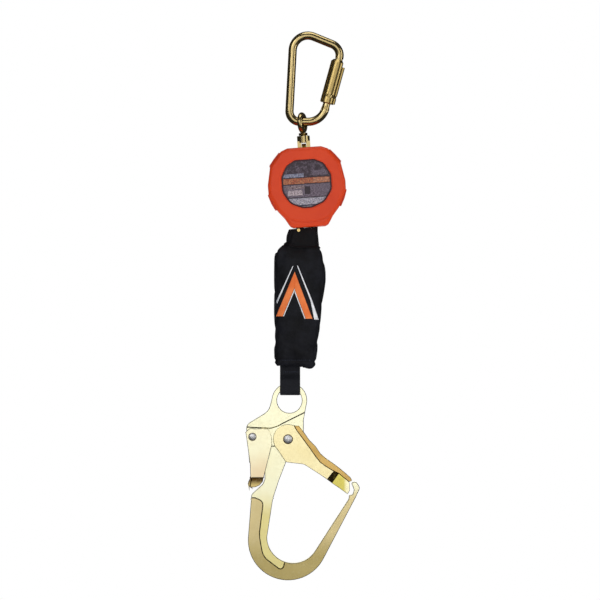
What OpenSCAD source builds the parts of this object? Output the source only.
// Self retracting lifeline: carabiner, swivel, webbing retractor, shock pack and rebar hook.
// Millimetres, +Z up. The origin is the seat inside the carabiner's top bend, which carries
// the whole device, and the front of the device faces -Y.

/* [Carabiner] */
// Diameter of the carabiner's bar
bar_d = 10.5; // [9.5:0.5:11]
// Centreline radius of the top bend
top_bend_r = 19; // [17:0.5:21]
// Angle of the spine from vertical
spine_lean = 3; // [1:0.5:5]
// Fall of the top arm from horizontal
top_slope = 22; // [18:1:26]
// Length of the spine between the corners of its centreline
spine_len = 116.5; // [110:0.5:120]
// Length of the top arm between the corners of its centreline
top_len = 65; // [60:0.5:68]
// Length of the bottom arm between the corners of its centreline
bottom_len = 41; // [39:0.5:43]
// Outer diameter of the twist-lock sleeve
sleeve_d = 18; // [17:0.5:19]
// Height of the gate hinge pin above the lower corner, along the gate
hinge_at = 18; // [17:0.5:18.5]
// Height of the sleeve's top end above the lower corner, along the gate
sleeve_top = 80; // [78:0.5:80]

/* [Swivel] */
// How far the hanging chain leans, bottom towards +X
lean = 4; // [0:0.5:6]
// Radius of the hole in the swivel's ring
ring_hole_r = 7; // [6.8:0.1:7.4]
// Diameter of the ring's round section
ring_wire_d = 6.5; // [6:0.25:7]
// Turn of the swivel's ring on the bar, in degrees
ring_turn = 18; // [0:1:20]
// Outer width of the jaw
jaw_w = 16; // [15:0.5:16.5]
// Diameter of the jaw's cross pin
jaw_pin_d = 6; // [5:0.5:6.5]

/* [Retractor housing] */
// Distance from the swivel's pivot down to the middle of the housing
housing_drop = 80.3; // [79:0.1:82]
// Front face of the housing, measured forward from the web's middle
housing_front = 32; // [31:0.5:34]
// Back face of the housing, measured back from the web's middle
housing_back = 29; // [28.5:0.5:31]
// Wall thickness of the moulded covers
wall = 2.5; // [2:0.25:2.5]
// Outer radius of the drum flanges
flange_r = 38; // [37:0.5:38.5]
// Width of the lifeline webbing
web_w = 25.4; // [25:0.1:25.8]
// Thickness of the lifeline webbing
web_t = 1.7; // [1.5:0.1:1.8]
// Radius of the webbing wound on the drum
coil_r = 35.7; // [33:0.1:36]
// Diameter of the drum's shaft
shaft_d = 10; // [9:0.5:11]

/* [Shock pack] */
// Height of the pack's fabric cover
pack_h = 145; // [140:1:146]
// Depth of the pack, front to back
pack_depth = 36; // [33:1:40]
// Width of the hook's strap
strap_w = 25.4; // [25:0.1:25.8]

/* [Rebar hook] */
// Outer radius of the hook's eye
eye_outer_r = 22; // [21:0.5:23]
// Radius of the hole in the hook's eye
eye_hole_r = 15.6; // [15:0.1:16]
// Thickness of the eye, spine and bowl
hook_t = 12.5; // [12:0.25:12.75]
// Thickness of the hook's head, between the cheeks
head_t = 11.5; // [11:0.25:12]
// Thickness of the recessed inner strip
strip_t = 9; // [8:0.5:10]
// Radius of the outside of the bowl
bowl_outer_r = 50; // [49:0.5:51]
// Radius of the inside of the bowl
bowl_inner_r = 32.5; // [31:0.5:33.5]

/* [Hidden] */

$fn = 48;
// Facets of a small round part, and of the children of a hull
small_fn = 24;
// Overshoot of a cut past the face that it opens
cut = 1;
// Radial clearance of a running fit
run_gap = 0.05;
// Radial clearance of a free fit
free_gap = 0.1;

// Colours of the materials
zinc_gold = "#B79A5B";
zinc_pale = "#E6D9A0";
zinc_deep = "#B08A3E";
steel = "#A9ABAD";
spring_steel = "#7D8084";
orange_shell = "#E8502A";
print_grey = "#6E6473";
black_plastic = "#26272B";
black_web = "#1C1D24";
pack_fabric = "#191B26";
web_grey = "#8D9096";
brass = "#C9A24A";

// Unit vector along v
function unit(v) = v / norm(v);
// Angle between the two legs that leave corner b
function corner_angle(a, b, c) = acos(unit(a - b) * unit(c - b));
// Length that a fillet of radius r takes from each leg of corner b
function fillet_len(a, b, c, r) = r / tan(corner_angle(a, b, c) / 2);
// Centre of the fillet of radius r in corner b
function fillet_centre(a, b, c, r) =
    b + unit(unit(a - b) + unit(c - b)) * r / sin(corner_angle(a, b, c) / 2);
// Points of the fillet of radius r in corner b, in n steps
function fillet(a, b, c, r, n) =
    let (centre = fillet_centre(a, b, c, r),
         start = b + unit(a - b) * fillet_len(a, b, c, r) - centre,
         end = b + unit(c - b) * fillet_len(a, b, c, r) - centre,
         turn = sign(cross(start, end)) * (180 - corner_angle(a, b, c)))
    [for (k = [0:n]) let (t = turn * k / n)
        centre + [start.x * cos(t) - start.y * sin(t), start.x * sin(t) + start.y * cos(t)]];
// First two coordinates of p
function xy(p) = [p.x, p.y];
// Closed outline through points [x, y, fillet radius]
function rounded(pts, n = 5) = let (m = len(pts))
    [for (i = [0:m - 1]) let (p = pts[i])
        each p[2] > 0
            ? fillet(xy(pts[(i + m - 1) % m]), xy(p), xy(pts[(i + 1) % m]), p[2], n)
            : [xy(p)]];
// Points of an arc about centre c, from angle a0 to a1 in n steps
function arc(c, r, a0, a1, n = 16) =
    [for (k = [0:n]) let (a = a0 + (a1 - a0) * k / n) c + r * [cos(a), sin(a)]];
// Outline points on the right, and their mirror image on the left
function both_sides(pts) =
    concat(pts, [for (i = [len(pts) - 1:-1:0]) [-pts[i].x, pts[i].y, pts[i][2]]]);

// A flat outline in the XZ plane, made solid from y0 to y1
module plate(y0, y1) translate([0, y1, 0]) rotate([90, 0, 0]) linear_extrude(y1 - y0) children();
// The same outline on both faces of the hook, from y0 to y1 and from -y1 to -y0
module plates(y0, y1) {
    plate(y0, y1) children();
    plate(-y1, -y0) children();
}
// Cylinders along X and Y, centred on the origin
module rod_x(d, l) rotate([0, 90, 0]) cylinder(d = d, h = l, center = true);
module rod_y(d, l) rotate([90, 0, 0]) cylinder(d = d, h = l, center = true);
// A cylinder along Y from y0 to y1, at (x, z)
module pin_y(d, y0, y1, at) translate([at.x, (y0 + y1) / 2, at.y]) rod_y(d, y1 - y0);
// A ring about the Y axis from y0 to y1
module ring_y(d, hole, y0, y1) translate([0, y1, 0]) rotate([90, 0, 0]) difference() {
    cylinder(d = d, h = y1 - y0);
    translate([0, 0, -cut]) cylinder(d = hole, h = y1 - y0 + 2 * cut);
}
// A box between two corners
module box(lo, hi) translate(lo) cube(hi - lo);
// A coil spring about +Z, starting at z = 0
module coil(r, wire, pitch, turns, steps = 12, sides = 6) {
    n = turns * steps;
    points = [for (i = [0:n]) for (j = [0:sides - 1])
        let (a = 360 * i / steps, b = 360 * j / sides, q = r + wire / 2 * cos(b))
        [q * cos(a), q * sin(a), wire / 2 + pitch * i / steps + wire / 2 * sin(b)]];
    walls = [for (i = [0:n - 1]) for (j = [0:sides - 1]) let (k = (j + 1) % sides)
        [i * sides + j, (i + 1) * sides + j, (i + 1) * sides + k, i * sides + k]];
    ends = [[for (j = [0:sides - 1]) j], [for (j = [sides - 1:-1:0]) n * sides + j]];
    polyhedron(points, concat(walls, ends), convexity = 10);
}

// ---- Carabiner: the bar's centreline, worked out from the seat at the origin ----
seat_centre = [0, bar_d / 2 - top_bend_r];
down_spine = [-sin(spine_lean), -cos(spine_lean)];
along_top = [cos(top_slope), -sin(top_slope)];
top_half_angle = acos(down_spine * along_top) / 2;
corner_top = seat_centre - unit(down_spine + along_top) * top_bend_r / sin(top_half_angle);
corner_nose = corner_top + along_top * top_len;
corner_heel = corner_top + down_spine * spine_len;
corner_hinge = corner_heel + [bottom_len, 0];
gate_vec = corner_nose - corner_hinge;
gate_lean = atan2(gate_vec.x, gate_vec.y);
heel_bend_r = 13;
hinge_bend_r = 22;
nose_bend_r = 15;
leg_lap = 0.3;
nose_at = 82;
gate_top = 81.2;
tongue_t = 4.6;
nose_tongue_t = 4;
latch_at = 78;
hinge_pin_d = 4;
latch_pin_d = 2.5;
sleeve_bottom = 23.8;
sleeve_bore_d = bar_d + 0.2;
stop_pin_at = 33.5;
slot_w = 3.6;
stop_pin_d = 3;
window_floor = 72.3;
hinge_point = corner_hinge + unit(gate_vec) * hinge_at;

// Puts its children on the gate's axis: +Z runs up the gate, +X is outward
module on_gate() translate([corner_hinge.x, 0, corner_hinge.y]) rotate([0, gate_lean, 0]) children();

// One bend of the bar about corner b
module bar_bend(a, b, c, r) {
    centre = fillet_centre(a, b, c, r);
    from = b + unit(a - b) * fillet_len(a, b, c, r) - centre;
    to = b + unit(c - b) * fillet_len(a, b, c, r) - centre;
    low = cross(from, to) > 0 ? from : to;
    translate([centre.x, 0, centre.y]) rotate([90, 0, 0])
        rotate([0, 0, atan2(low.y, low.x)])
            rotate_extrude(angle = 180 - corner_angle(a, b, c)) translate([r, 0]) circle(d = bar_d);
}
// One straight length of the bar between p and q: it laps into the bends at both ends, and is a
// hair thicker than they are, so that no two surfaces coincide
module bar_leg(p, q) translate([p.x, 0, p.y]) rotate([0, atan2(q.x - p.x, q.y - p.y), 0])
    translate([0, 0, -leg_lap]) cylinder(d = bar_d + 0.02, h = norm(q - p) + 2 * leg_lap);

module carabiner_body() color(zinc_gold) {
    nose_end = corner_hinge + unit(gate_vec) * nose_at;
    nose_len = fillet_len(nose_end, corner_nose, corner_top, nose_bend_r);
    top_len_cut = fillet_len(corner_nose, corner_top, corner_heel, top_bend_r);
    heel_cut = fillet_len(corner_top, corner_heel, corner_hinge, heel_bend_r);
    hinge_cut = fillet_len(corner_heel, corner_hinge, corner_nose, hinge_bend_r);
    difference() {
        union() {
            bar_leg(nose_end, corner_nose - unit(gate_vec) * nose_len);
            bar_bend(nose_end, corner_nose, corner_top, nose_bend_r);
            bar_leg(corner_top + along_top * top_len_cut, corner_nose - along_top * nose_len);
            bar_bend(corner_nose, corner_top, corner_heel, top_bend_r);
            bar_leg(corner_heel - down_spine * heel_cut, corner_top + down_spine * top_len_cut);
            bar_bend(corner_top, corner_heel, corner_hinge, heel_bend_r);
            bar_leg(corner_heel + [heel_cut, 0], corner_hinge - [hinge_cut, 0]);
            bar_bend(corner_heel, corner_hinge, corner_nose, hinge_bend_r);
            bar_leg(corner_hinge + unit(gate_vec) * hinge_cut, hinge_point);
            on_gate() {
                // hinge tongue
                translate([0, 0, hinge_at]) rod_y(bar_d - 0.5, tongue_t);
                // nose tongue with its notch for the latch pin
                difference() {
                    box([-4, -nose_tongue_t / 2, latch_at - 4], [4, nose_tongue_t / 2, nose_at + cut]);
                    box([-4 - cut, -nose_tongue_t, latch_at - latch_pin_d / 2 - 0.5],
                        [latch_pin_d / 2 + 0.5, nose_tongue_t, latch_at + latch_pin_d / 2 + 0.5]);
                }
            }
        }
        on_gate() translate([0, 0, hinge_at]) {
            rod_y(hinge_pin_d, bar_d + 2 * cut);
            for (side = [-1, 1])
                translate([0, side * (tongue_t / 2 + bar_d / 2), 0]) rod_y(bar_d + 1.1, bar_d);
        }
    }
}
module carabiner_hinge_pin() color(steel)
    on_gate() translate([0, 0, hinge_at]) rod_y(hinge_pin_d, bar_d - 0.6);
module carabiner_gate() color(zinc_gold) on_gate() difference() {
    intersection() {
        translate([0, 0, hinge_at - bar_d]) cylinder(d = bar_d, h = gate_top - hinge_at + bar_d);
        union() {
            translate([0, 0, hinge_at]) rod_y(bar_d, 2 * bar_d);
            box([-bar_d, -bar_d, hinge_at], [bar_d, bar_d, gate_top + cut]);
        }
    }
    // fork for the hinge tongue, and its pin hole
    box([-bar_d, -tongue_t / 2 - 0.2, 0], [bar_d, tongue_t / 2 + 0.2, hinge_at + bar_d / 2 + 0.35]);
    translate([0, 0, hinge_at]) rod_y(hinge_pin_d + 2 * run_gap, 2 * bar_d);
    // plunger bore
    translate([0, 0, hinge_at]) cylinder(d = 5, h = 12.5);
    // stop pin hole
    translate([0, -bar_d / 2, stop_pin_at]) rod_y(stop_pin_d, bar_d);
    // groove for the sleeve's spring
    translate([0, 0, 44]) difference() {
        cylinder(d = bar_d + 2 * cut, h = 20);
        translate([0, 0, -cut]) cylinder(d = 7.2, h = 20 + 2 * cut);
    }
    // slot for the nose tongue, and the latch pin's hole
    box([-bar_d, -nose_tongue_t / 2 - 0.3, latch_at - 4.8], [bar_d, nose_tongue_t / 2 + 0.3, 90]);
    translate([0, 0, latch_at]) rod_y(latch_pin_d, 2 * bar_d);
}
module gate_latch_pin() color(steel) on_gate()
    translate([0, 0, latch_at]) rod_y(latch_pin_d, bar_d - 1.4);
module gate_plunger() color(steel) on_gate()
    translate([0, 0, hinge_at + bar_d / 2 + 0.1]) cylinder(d = 4.8, h = 3.4);
module gate_plunger_spring() color(spring_steel) on_gate()
    translate([0, 0, hinge_at + bar_d / 2 + 3.6]) coil(1.7, 0.7, 0.85, 3);
module sleeve_stop_pin() color(steel) on_gate()
    translate([0, -(sleeve_d / 2 - 0.5) / 2, stop_pin_at]) rod_y(stop_pin_d, sleeve_d / 2 - 0.5);
module sleeve_spring() color(spring_steel) on_gate() translate([0, 0, 45]) coil(4.45, 1.1, 2.2, 7.5, 12);
module twist_lock_sleeve() color(zinc_gold) on_gate() difference() {
    union() {
        rotate_extrude() polygon([[sleeve_bore_d / 2, sleeve_bottom], [sleeve_d / 2 - 1, sleeve_bottom],
            [sleeve_d / 2, sleeve_bottom + 1], [sleeve_d / 2, sleeve_top - 3],
            [sleeve_d / 2 - 2.6, sleeve_top], [sleeve_bore_d / 2, sleeve_top]]);
        // grip rib along the outward side
        difference() {
            translate([0, 0, sleeve_bottom + 1])
                cylinder(r = sleeve_d / 2 + 1.1, h = window_floor - sleeve_bottom - 1);
            translate([0, 0, sleeve_bottom]) cylinder(r = sleeve_d / 2 - 1, h = window_floor);
            for (side = [-1, 1]) box([-20, side > 0 ? 4.5 : -20, 0], [20, side > 0 ? 20 : -4.5, 90]);
            box([-20, -20, 0], [0, 20, 90]);
        }
    }
    // window that frees the nose tongue: 155 degrees wide, from 40 degrees in front of outward
    window = [for (a = [-40:31:115]) 20 * [cos(a), sin(a)]];
    translate([0, 0, window_floor]) linear_extrude(20) polygon(concat([[0, 0]], window));
    // bayonet slot: a level run of 130 degrees, and a short upright end
    run = [for (a = [-110:26:20]) 20 * [cos(a), sin(a)]];
    translate([0, 0, stop_pin_at - slot_w / 2]) linear_extrude(slot_w) difference() {
        polygon(concat([[0, 0]], run));
        circle(d = bar_d);
    }
    box([-slot_w / 2, -20, stop_pin_at - slot_w / 2], [slot_w / 2, -bar_d / 2, stop_pin_at + 6]);
}

// ---- Swivel and everything below it hang from the middle of the bottom arm ----
swivel_x = -7;
swivel_z = corner_heel.y;
ring_z = bar_d / 2 - ring_hole_r + 0.2;
collar_z = -17.3;
boss_top = -17.8;
boss_bottom = -26.3;
washer_top = -20.95;
jaw_gap = 6;
jaw_leg_y = 6;
jaw_pin_z = -39.4;
lug_r = 6;
lug_w = jaw_gap - 0.5;
lug_rise = 6;
stem_d = 6.5;

// Puts its children on the leaning chain: the origin is the ring's pivot
module hung() translate([swivel_x, 0, swivel_z]) rotate([0, -lean, 0]) children();

module swivel_eye() color(zinc_gold) hung() {
    translate([0, 0, ring_z]) rotate([0, 90, -ring_turn])
        rotate_extrude() translate([ring_hole_r + ring_wire_d / 2, 0])
            circle(d = ring_wire_d, $fn = small_fn);
    translate([0, 0, collar_z]) cylinder(d = 11, h = 3.2);
    translate([0, 0, washer_top - 1]) cylinder(d = stem_d, h = 6);
    translate([0, 0, washer_top - 4]) cylinder(d = 10, h = 3.15);
}
module swivel_washer() color(brass) hung() translate([0, 0, washer_top - 0.8]) difference() {
    cylinder(d = 10, h = 0.8);
    translate([0, 0, -cut]) cylinder(d = stem_d + 2 * free_gap, h = 0.8 + 2 * cut);
}
module swivel_jaw() color(zinc_gold) hung() difference() {
    union() {
        translate([0, 0, boss_bottom]) cylinder(d = jaw_w, h = boss_top - boss_bottom);
        for (side = [-1, 1]) translate([side * (jaw_w + jaw_gap) / 4, 0, 0]) {
            leg_w = (jaw_w - jaw_gap) / 2;
            box([-leg_w / 2, -jaw_leg_y, jaw_pin_z], [leg_w / 2, jaw_leg_y, boss_bottom + 2]);
            translate([0, 0, jaw_pin_z]) rod_x(2 * jaw_leg_y, leg_w);
        }
    }
    translate([0, 0, washer_top - 6]) cylinder(d = stem_d + 0.2, h = 20);
    translate([0, 0, boss_bottom - cut]) cylinder(d = 10.6, h = washer_top + 0.15 - boss_bottom + cut);
    translate([0, 0, jaw_pin_z]) rod_x(jaw_pin_d, 2 * jaw_w);
}
module jaw_pin() color(steel) hung() translate([0, 0, jaw_pin_z]) rod_x(jaw_pin_d, jaw_w - 0.4);

// ---- Retractor: (u, v) are across and up from the middle of the housing ----
drum_v = -3;
plate_t = 2.5;
front_plate_y = -17.7;
rear_plate_y = 20.7;
flange_y = 13.2;
flange_t = 1.5;
post_u = 14;
post_v = 39;
post_d = 8;
low_post = [15, -44.5];
roller_at = [-15.9, -45.3];
roller_d = 6;
roller_pin_d = 4;
mouth_u = -12.2;
mouth_half_w = 4.6;
mouth_half_d = 15;
rivet_tail = 0.8;
screw_at = [[31, 35], [24.5, -41], [-24.5, -41], [-31, 35]];
hub_r = 14;
pawl_pivot_r = 20;
pawl_y = 15.4;
pawl_t = 4.6;
label_outline = [[-24, 26, 12], [-13, 32.3, 5], [11, 32.3, 5], [23, 27, 12], [31.3, 12, 12],
    [31.3, -7, 14], [21, -22, 14], [5, -28.4, 16], [-7, -28.4, 16], [-22, -22, 14],
    [-31.3, -7, 14], [-31.3, 12, 12]];
shell_outline = both_sides([[21, 47.4, 4], [29.5, 44, 3], [44, 25.8, 5], [48.4, 3, 12],
    [48.2, -9, 6], [38.5, -29, 5], [30, -39.5, 4], [24, -49.5, 4], [20, -51.6, 3]]);

module in_housing() hung() translate([0, 0, -housing_drop]) children();
module shell_shape(inset = 0) offset(delta = -inset) polygon(rounded(shell_outline, 3));
// Half of the housing's shell: side -1 is the front, 1 the back
module half_shell(depth, side) mirror([0, side > 0 ? 0 : 1, 0]) mirror([0, 1, 0]) {
    difference() {
        hull() {
            plate(-depth + 5, 0) shell_shape();
            plate(-depth, -depth + 1) shell_shape(5);
        }
        hull() {
            plate(-depth + 5 + wall / 2, cut) shell_shape(wall);
            plate(-depth + wall, -depth + wall + 1) shell_shape(5 + wall);
        }
    }
    // raised guards over the four corners of the skirt
    for (flip = [0, 1]) mirror([flip, 0, 0]) {
        plate(-depth + 7, 0) polygon([[31, 41.3], [32, 43], [45, 26.8], [43.4, 25.8]]);
        plate(-depth + 7, 0) polygon([[47.8, -8], [49.3, -8.4], [41.2, -28], [39.4, -27.6]]);
    }
}
// Openings that both covers share: the jaw's slot on top and the web's mouth below
module shell_cuts() {
    box([-8.8, -8.6, 40], [8.8, 8.6, 60]);
    box([mouth_u - mouth_half_w - 0.2, -mouth_half_d - 0.2, -60],
        [mouth_u + mouth_half_w + 0.2, mouth_half_d + 0.2, -46.4]);
}
module front_cover() color(orange_shell) in_housing() {
    difference() {
        half_shell(housing_front, -1);
        shell_cuts();
        plate(-housing_front - cut, -housing_front + 1) polygon(rounded(label_outline));
    }
    for (at = screw_at) difference() {
        pin_y(7, -housing_front + wall, 0, at);
        pin_y(2.9, -12, cut, at);
    }
}
module rear_cover() color(orange_shell) in_housing() difference() {
    union() {
        difference() {
            half_shell(housing_back, 1);
            shell_cuts();
        }
        for (at = screw_at) pin_y(7, 0, housing_back - wall, at);
    }
    for (at = screw_at) {
        pin_y(3.4, -cut, housing_back + cut, at);
        pin_y(6.4, housing_back - 3, housing_back + cut, at);
    }
}
module front_label() color(print_grey) in_housing()
    plate(-housing_front + 0.4, -housing_front + 1) polygon(rounded(label_outline));
module cover_screws() color(steel) in_housing() for (at = screw_at) {
    pin_y(2.9, -11.5, housing_back - 3, at);
    pin_y(6, housing_back - 3, housing_back - 1, at);
}
module frame_shape() difference() {
    union() {
        translate([0, drum_v]) circle(r = flange_r + 2);
        polygon(rounded([[-20, 44, 5], [20, 44, 5], [21, 0, 0], [20.5, -48.4, 5], [-20.5, -48.4, 4],
            [-21, 0, 0]]));
    }
    for (side = [-1, 1]) translate([side * post_u, post_v]) circle(d = 5);
    translate(low_post) circle(d = 5);
    translate(roller_at) circle(d = roller_pin_d);
    translate([0, drum_v]) circle(d = shaft_d + 4);
}
module frame_front_plate() color(steel) in_housing() difference() {
    plate(front_plate_y, front_plate_y + plate_t) frame_shape();
    for (a = [45:90:315]) translate([0, 0, drum_v]) pin_y(2.5, -30, 0, 33 * [cos(a), sin(a)]);
}
module frame_rear_plate() color(steel) in_housing() difference() {
    plate(rear_plate_y, rear_plate_y + plate_t) frame_shape();
    for (a = [0:90:270]) translate([0, 0, drum_v]) pin_y(3, 0, 40, 37 * [cos(a), sin(a)]);
}
module frame_post(at) {
    pin_y(post_d, front_plate_y + plate_t, rear_plate_y, at);
    pin_y(5, front_plate_y - rivet_tail, rear_plate_y + plate_t + rivet_tail, at);
}
module frame_posts() color(steel) in_housing() {
    for (side = [-1, 1]) frame_post([side * post_u, post_v]);
    frame_post(low_post);
}
module hanger_block() color(zinc_deep) in_housing() difference() {
    pin_v = housing_drop + jaw_pin_z;
    union() {
        box([-19.5, -10, 33.6], [19.5, 10, 43.4]);
        for (v = [pin_v, pin_v + lug_rise]) translate([0, 0, v]) rod_x(2 * lug_r, lug_w);
        box([-lug_w / 2, -lug_r, pin_v], [lug_w / 2, lug_r, pin_v + lug_rise]);
    }
    for (side = [-1, 1]) {
        // room for a jaw leg
        translate([side * 5.5, 0, pin_v]) rod_x(13, 5.6);
        box([side * 5.5 - 2.8, -7.4, pin_v], [side * 5.5 + 2.8, 7.4, 60]);
        // post holes
        pin_y(post_d, -20, 20, [side * post_u, post_v]);
    }
    translate([0, 0, pin_v]) rod_x(jaw_pin_d + 2 * run_gap, 60);
}
module shaft_bushes() color(brass) in_housing() translate([0, 0, drum_v]) {
    ring_y(shaft_d + 4, shaft_d + 2 * run_gap, front_plate_y, front_plate_y + plate_t);
    ring_y(shaft_d + 4, shaft_d + 2 * run_gap, rear_plate_y, rear_plate_y + plate_t);
}
module spring_case() color(black_plastic) in_housing() translate([0, 0, drum_v]) difference() {
    ring_y(74, 0.1, -28.7, front_plate_y);
    translate([0, -22.2, 0]) rod_y(70, 10);
    translate([0, -29, 0]) rod_y(shaft_d + 2, 4);
    for (a = [45:90:315]) pin_y(2.5, -30, 0, 33 * [cos(a), sin(a)]);
}
module case_screws() color(steel) in_housing() translate([0, 0, drum_v]) for (a = [45:90:315]) {
    pin_y(2.5, -28.7, front_plate_y + plate_t, 33 * [cos(a), sin(a)]);
    pin_y(4.5, -29.3, -28.7, 33 * [cos(a), sin(a)]);
}
// Flat spiral from radius r0 to r1
function spiral(r0, r1, turns, steps) =
    [for (i = [0:turns * steps]) let (a = 360 * i / steps, r = r0 + (r1 - r0) * i / (turns * steps))
        r * [cos(a), sin(a)]];
module power_spring() color(spring_steel) in_housing() translate([0, 0, drum_v])
    plate(-26.4, -18.4) {
        inner = spiral(8, 28.6, 7, 20);
        outer = spiral(8.5, 29.1, 7, 20);
        polygon(concat(outer, [for (i = [len(inner) - 1:-1:0]) inner[i]]));
    }
module ratchet_ring() color(steel) in_housing() translate([0, 0, drum_v]) difference() {
    plate(pawl_y, rear_plate_y) difference() {
        circle(r = 39.6);
        polygon([for (k = [0:11]) each [31 * [cos(30 * k), sin(30 * k)],
            34 * [cos(30 * k + 6), sin(30 * k + 6)], 34 * [cos(30 * k + 24), sin(30 * k + 24)],
            31 * [cos(30 * k + 27), sin(30 * k + 27)]]]);
    }
    for (a = [0:90:270]) pin_y(3, 0, 40, 37 * [cos(a), sin(a)]);
}
module ratchet_rivets() color(steel) in_housing() translate([0, 0, drum_v]) for (a = [0:90:270]) {
    pin_y(3, pawl_y, rear_plate_y + plate_t, 37 * [cos(a), sin(a)]);
    pin_y(4.5, rear_plate_y + plate_t, rear_plate_y + plate_t + 0.8, 37 * [cos(a), sin(a)]);
}
module guide_roller() color(black_plastic) in_housing()
    translate([roller_at.x, 0, roller_at.y]) ring_y(roller_d, roller_pin_d + 2 * run_gap, -14.5, 14.5);
module guide_roller_pin() color(steel) in_housing()
    pin_y(roller_pin_d, front_plate_y - rivet_tail, rear_plate_y + plate_t + rivet_tail, roller_at);
module web_guide() color(black_plastic) in_housing() difference() {
    box([mouth_u - mouth_half_w, -mouth_half_d, -52.4], [mouth_u + mouth_half_w, mouth_half_d, -49.3]);
    box([mouth_u - 3.2, -13.6, -60], [mouth_u + 3.2, 13.6, -40]);
}
// The web's run from the coil, round the roller to the mouth
module lifeline_lead() color(black_web) in_housing() plate(-web_w / 2, web_w / 2) {
    r = roller_d / 2 + 0.2;
    bend = 44;
    inner = arc(roller_at, r, bend, -lean, 6);
    outer = arc(roller_at, r + web_t, bend, -lean, 6);
    back = 14 * [-sin(bend), cos(bend)];
    fall = 6 * [-sin(lean), -cos(lean)];
    polygon(concat([inner[0] + back], inner, [inner[6] + fall, outer[6] + fall],
        [for (i = [6:-1:0]) outer[i]], [outer[0] + back]));
}

// ---- Drum, turning about the Y axis ----
module on_drum() in_housing() translate([0, 0, drum_v]) children();
module drum() color(steel) on_drum() difference() {
    union() {
        ring_y(2 * hub_r, shaft_d, -flange_y, flange_y);
        for (y = [-flange_y - flange_t, flange_y]) ring_y(2 * flange_r, shaft_d, y, y + flange_t);
    }
    // keyway, web anchor bore, pawl pin holes and lightening holes
    box([-1.5, -20, 0], [1.5, 20, 6.5]);
    pin_y(4, -20, flange_y, [-9.5, 0]);
    for (a = [90, 270]) pin_y(5, 0, 20, pawl_pivot_r * [cos(a), sin(a)]);
    for (a = [30:60:330]) pin_y(12, -20, -flange_y + cut, 26 * [cos(a), sin(a)]);
}
module main_shaft() color(steel) on_drum() difference() {
    translate([0, -1.8, 0]) rod_y(shaft_d, 51.4);
    box([-1.5, -14.7, 3.2], [1.5, 14.7, 10]);
    ring_y(shaft_d + 4, shaft_d - 1, rear_plate_y + plate_t - 0.3 + 0.4, rear_plate_y + plate_t + 0.5);
}
module drum_key() color(spring_steel) on_drum() box([-1.5, -14.7, 3.2], [1.5, 14.7, 6.5]);
module shaft_circlip() color(spring_steel) on_drum() difference() {
    ring_y(shaft_d + 4, shaft_d - 1, rear_plate_y + plate_t + 0.1, rear_plate_y + plate_t + 0.5);
    box([-1.5, 0, -10], [1.5, 40, 0]);
}
module spring_arbor() color(steel) on_drum() ring_y(15, shaft_d, -27, front_plate_y - 0.4);
module web_coil() color(black_web) on_drum() rotate([90, 0, 0]) rotate_extrude() {
    turns = floor((coil_r - hub_r) / web_t);
    top = [for (k = [0:turns - 1]) each [[hub_r + k * web_t, web_w / 2 - 0.3],
        [hub_r + (k + 0.5) * web_t, web_w / 2]]];
    edge = [[coil_r, web_w / 2 - 0.3], [coil_r, 0.3 - web_w / 2]];
    bottom = [for (i = [len(top) - 1:-1:0]) [top[i].x, -top[i].y]];
    polygon(concat(top, edge, bottom));
}
module web_anchor_pin() color(steel) on_drum() pin_y(4, -12.7, 12.7, [-9.5, 0]);
module pawl_pins() color(steel) on_drum() for (a = [90, 270])
    pin_y(5, flange_y, pawl_y + pawl_t + 0.3, pawl_pivot_r * [cos(a), sin(a)]);
// Pawl with its pivot above the shaft and its tip towards +X
module pawl() difference() {
    plate(pawl_y, pawl_y + pawl_t)
        polygon(rounded([[-7, 24.5, 2], [-7, 16.5, 2], [10, 14, 8], [21, 16.5, 0], [22, 18.5, 0],
            [13, 22.5, 6]]));
    pin_y(5 + 2 * run_gap, 0, 40, [0, pawl_pivot_r]);
}
module pawl_a() color(zinc_deep) on_drum() pawl();
module pawl_b() color(zinc_deep) on_drum() rotate([0, 180, 0]) pawl();
module pawl_springs() color(spring_steel) on_drum() for (a = [0, 180]) rotate([0, a, 0])
    translate([-8.6, pawl_y + pawl_t / 2, 19]) rotate([0, -125, 0]) coil(1.6, 0.6, 1.5, 7, 10, 5);

// ---- Lifeline, shock pack and hook strap hang straight down ----
web_x = -10;
web_y = web_w / 2;
web_top = -235.4;
pack_top = -262.5;
pack_bottom = pack_top - pack_h;
strap_x = -22.2;
// Pack outline, from the top's left going round clockwise
pack_outline = [[-41.5, -0.5, 5], [16, -0.5, 5], [22.5, -20, 12], [21.5, -34, 20], [17, -62, 60],
    [9, -142, 3], [5.5, -146.5, 2], [-34, -145.5, 3], [-41, -139, 6]];
module lifeline_web() color(black_web)
    box([web_x - web_t / 2, -web_y, pack_top - 6], [web_x + web_t / 2, web_y, web_top]);
module pack_cover() color(pack_fabric) translate([0, 0, pack_top]) difference() {
    plate(-pack_depth / 2, pack_depth / 2) polygon(rounded(pack_outline));
    plate(-pack_depth / 2 + 2, pack_depth / 2 - 2) offset(delta = -2) polygon(rounded(pack_outline));
    box([web_x - 4, -15, -20], [web_x + 4, 15, 20]);
    box([strap_x - 14.5, -10.5, -160], [strap_x + 14.5, 10.5, -120]);
}
module neck_sleeve() color(pack_fabric) translate([0, 0, pack_top]) difference() {
    plate(-17, 17) polygon(rounded([[-19.5, 25.5, 3], [12.5, 25.5, 3], [12.5, 8, 4], [16.5, 0.3, 0],
        [-33, 0.3, 0], [-25, 15, 6]]));
    plate(-15, 15) polygon([[-17.5, 40], [10.5, 40], [10.5, 8], [14, -10], [-26, -10], [-22, 15]]);
}
module neck_eyelet() color(brass) translate([-11.5, -17, pack_top + 24.3])
    rotate([90, 0, 0]) difference() {
        cylinder(d = 4, h = 1, $fn = small_fn);
        translate([0, 0, 0.5]) cylinder(d = 1.6, h = 1, $fn = small_fn);
    }
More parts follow.
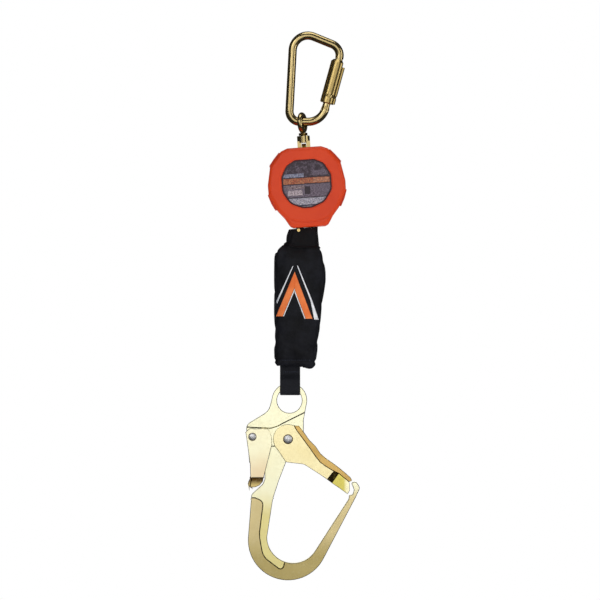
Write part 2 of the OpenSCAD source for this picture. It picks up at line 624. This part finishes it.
// Two corners of one finger of the folded web
function finger(k, x0, pitch, web, low, high) =
    let (x = x0 + k * pitch) [[x, high], [x + web, high], [x + web, low], [x + pitch, low]];
// Tear web, folded in a zigzag and closed along its lower edge by the stitching
module absorber_web() color(web_grey) translate([0, 0, pack_top]) plate(-13.5, 13.5) {
    folds = 11;
    pitch = 3.2;
    x0 = -31.5;
    low = -122;
    end_x = x0 + folds * pitch;
    polygon(concat([for (k = [0:folds - 1]) each finger(k, x0, pitch, 2.2, low, -14)],
        [[end_x, low - 5], [x0, low - 5]]));
}
module hook_strap() color(black_web) translate([strap_x, 0, eye_z])
    rotate([0, 0, 90]) plate(-strap_w / 2, strap_w / 2) difference() {
        polygon(rounded([[-2.4, strap_top, 0], [2.4, strap_top, 0], [2.4, 34, 4], [9.4, 25, 4],
            [9.4, 5, 3], [-9.4, 5, 3], [-9.4, 25, 4], [-2.4, 34, 4]]));
        polygon(rounded([[0, 31, 1], [7.1, 23.5, 3], [7.1, 7.2, 2], [-7.1, 7.2, 2], [-7.1, 23.5, 3]]));
    }

// ---- Rebar hook: (x, z) from the centre of its eye ----
eye_x = -23;
eye_z = -450.75;
strap_top = pack_bottom - eye_z - 0.4;
gate_pivot = [-1.75, -48.25];
lock_pivot = [-46.15, -45.25];
gate_rivet_d = 7;
lock_rivet_d = 6;
cheek_in = 6.6;
cheek_out = 8.2;
bowl_out_c = [-1.75, -174.5];
bowl_in_c = [4.5, -170.75];
module at_eye() translate([eye_x, 0, eye_z]) children();

// Head, with the shoulder over the lock lever
head_outline = [[-21.5, 4, 0], [-26, -13, 15], [-54.5, -30.5, 9], [-53.5, -38.8, 0], [-44, -38.8, 0],
    [-44, -50.5, 0], [-30.5, -60, 6], [-31, -99, 5], [-33.5, -104.5, 6], [-47.6, -117.5, 5],
    [-47.8, -123, 0], [-20.6, -123, 0], [-13.5, -101, 30], [-4.25, -77, 0], [8.2, -63.5, 0],
    [17.75, -42, 0], [17.75, -24, 8], [21.5, -4, 0]];
// Corners that stay sharp
function sharp(pts) = [for (p = pts) [p.x, p.y, 0]];
// Spine, bowl, arm and nose
bowl_outline = concat([[-47.8, -122.9, 0]], sharp(arc(bowl_out_c, bowl_outer_r, 177, 333.3, 26)),
    [[82.5, -121.5, 12], [88.3, -109, 5], [83, -100.8, 4], [77.2, -103, 1.5], [80.6, -111.5, 3],
        [79, -117.6, 2], [74.6, -118.4, 1], [74, -123, 3]],
    sharp(arc(bowl_in_c, bowl_inner_r, -31.8, -180, 22)), [[-20.6, -122.9, 0]]);
// Recessed strip beside the spine's inner edge
strip_outline = [[-70, -121.5, 0], [-43, -121.5, 3], [-32.6, -126, 7], [-37.8, -168, 30], [-33, -195, 20],
    [-9, -213, 4], [-5, -199, 0], [15, -175, 0], [15, -110, 0], [15, -50, 0], [-70, -50, 0]];

module hook_flat() difference() {
    union() {
        circle(r = eye_outer_r);
        polygon(rounded(head_outline));
        translate(lock_pivot) circle(r = 5.5);
        polygon(rounded(bowl_outline));
    }
    circle(r = eye_hole_r);
}
// Everything above the forging line across the neck
module above_neck() polygon([[-70, -32], [-46, -33.6], [-23, -34.6], [-13.5, -31.4], [-8, -28.3],
    [16.4, -16.2], [30, -9], [30, 40], [-70, 40]]);
module below_head() translate([-100, -257]) square([250, 200]);

module hook_body() color(zinc_pale) at_eye() difference() {
    union() {
        plate(-strip_t / 2, strip_t / 2) hook_flat();
        plate(-head_t / 2, head_t / 2) difference() {
            hook_flat();
            below_head();
        }
        plate(-hook_t / 2, hook_t / 2) intersection() {
            hook_flat();
            above_neck();
        }
        plate(-hook_t / 2, hook_t / 2) difference() {
            intersection() {
                hook_flat();
                below_head();
            }
            polygon(rounded(strip_outline));
        }
    }
    pin_y(gate_rivet_d, -20, 20, gate_pivot);
    pin_y(lock_rivet_d, -20, 20, lock_pivot);
    // pockets for the two torsion springs
    pin_y(14.5, 1.2, 20, gate_pivot);
    difference() {
        pin_y(10, 2.2, 20, lock_pivot);
        pin_y(lock_rivet_d + 0.6, 0, 20, lock_pivot);
    }
}
module dome_rivet(d, head_d, at) {
    pin_y(d, -cheek_out - 0.1, cheek_out + 0.1, at);
    for (side = [-1, 1]) translate([at.x, side * (cheek_out + 0.1), at.y]) rotate([-90 * side, 0, 0])
        intersection() {
            cylinder(d = head_d, h = 2);
            translate([0, 0, 2 - head_d]) sphere(r = head_d);
        }
}
module gate_rivet() color(steel) at_eye() dome_rivet(gate_rivet_d, 10.2, gate_pivot);
module lock_rivet() color(steel) at_eye() dome_rivet(lock_rivet_d, 8.6, lock_pivot);
module hook_gate_spring() color(spring_steel) at_eye()
    translate([gate_pivot.x, 1.4, gate_pivot.y]) rotate([-90, 0, 0]) coil(5.4, 1.2, 1.35, 3);
module hook_lock_spring() color(spring_steel) at_eye()
    translate([lock_pivot.x, 2.3, lock_pivot.y]) rotate([-90, 0, 0]) coil(4.1, 0.9, 1.0, 3);

gate_ridge_out = [[6, -31.5], [12, -31.5], [25, -49.5], [32.5, -57], [39, -66.5], [46, -72.5],
    [56, -79.5], [62, -84], [71, -91.5], [76.5, -96.5], [78.2, -100]];
gate_ridge_in = [[74.5, -101.5], [61.5, -90.8], [53.5, -87], [45.5, -82], [38.5, -77], [31.5, -68],
    [26, -60], [18.2, -49.5], [9, -37]];
module hook_gate() color(zinc_pale) at_eye() difference() {
    union() {
        plates(cheek_in, cheek_out) {
            translate(gate_pivot) circle(r = 18.5);
            polygon(rounded([[-1.75, -29.8, 0], [6, -31.5, 0], [18.2, -49.5, 0], [26, -60, 0],
                [31.5, -68, 0], [38.5, -77, 0], [45.5, -82, 0], [53.5, -87, 0], [55.8, -88, 0],
                [47, -98.5, 0], [36, -91, 8], [18, -79.5, 12], [-4.25, -77, 4], [-16.5, -59, 0]]));
        }
        // back of the channel, and the rolled rim that runs on over the neck
        plate(-cheek_out - 0.5, cheek_out + 0.5) polygon(concat(gate_ridge_out, gate_ridge_in));
    }
    // the neck passes between the cheeks
    plate(-cheek_in, cheek_in) polygon([[0, -20], [30, -20], [22, -47], [18.2, -49.5], [0, -60]]);
    pin_y(gate_rivet_d + 2 * run_gap, -20, 20, gate_pivot);
}
module gate_tip_block() color(zinc_deep) at_eye() {
    plate(-cheek_in, cheek_in) polygon([[52.8, -103], [61.5, -90.8], [74.5, -101.5], [75.2, -104.5],
        [75.2, -112.5], [72.6, -117], [67.8, -113.4], [61.4, -108.8]]);
    plate(-4.5, 4.5) polygon([[44, -96.5], [52, -86.5], [61.5, -90.8], [52.8, -103]]);
}
// Thumb rest that flares below the lever's cheeks
lever_lip = [[-49, -96], [-32.4, -96], [-33.2, -101], [-37.2, -105.7], [-42.8, -108.2], [-48.5, -108.2],
    [-51, -105.5], [-51.2, -102], [-49.6, -99]];
module hook_lock_lever() color(zinc_pale) at_eye() difference() {
    union() {
        plates(cheek_in, cheek_out - 0.5) polygon(lever_lip);
        plates(cheek_in, cheek_out) polygon(rounded([[-54.6, -38.9, 3], [-50, -35, 3], [-26, -35, 4],
            [-22.3, -45, 6], [-22, -56, 4], [-26.6, -74.5, 0], [-32.3, -96.5, 2], [-47, -96.5, 0],
            [-48.6, -95, 0], [-49, -81, 0], [-52.2, -57, 0]]));
        // back wall with its turned lip
        plate(-cheek_out, cheek_out) polygon([[-54.6, -40], [-52.2, -57.3], [-50.4, -66.5], [-49.2, -78],
            [-48.7, -96], [-51.6, -102], [-50.6, -106.5], [-49, -107.5], [-48.6, -103.5], [-47, -97],
            [-47.4, -78], [-48.8, -66], [-50.5, -57], [-53, -40]]);
    }
    pin_y(lock_rivet_d + 2 * run_gap, -20, 20, lock_pivot);
}

carabiner_body();
carabiner_hinge_pin();
carabiner_gate();
gate_plunger();
gate_plunger_spring();
gate_latch_pin();
sleeve_stop_pin();
sleeve_spring();
twist_lock_sleeve();
swivel_eye();
swivel_washer();
swivel_jaw();
jaw_pin();
front_cover();
rear_cover();
front_label();
cover_screws();
frame_front_plate();
frame_rear_plate();
hanger_block();
frame_posts();
shaft_bushes();
spring_case();
case_screws();
power_spring();
ratchet_ring();
ratchet_rivets();
guide_roller();
guide_roller_pin();
web_guide();
lifeline_lead();
drum();
main_shaft();
drum_key();
shaft_circlip();
spring_arbor();
web_coil();
web_anchor_pin();
pawl_pins();
pawl_springs();
pawl_a();
pawl_b();
lifeline_web();
pack_cover();
neck_sleeve();
neck_eyelet();
absorber_web();
hook_strap();
hook_body();
gate_rivet();
lock_rivet();
hook_gate_spring();
hook_lock_spring();
hook_gate();
gate_tip_block();
hook_lock_lever();
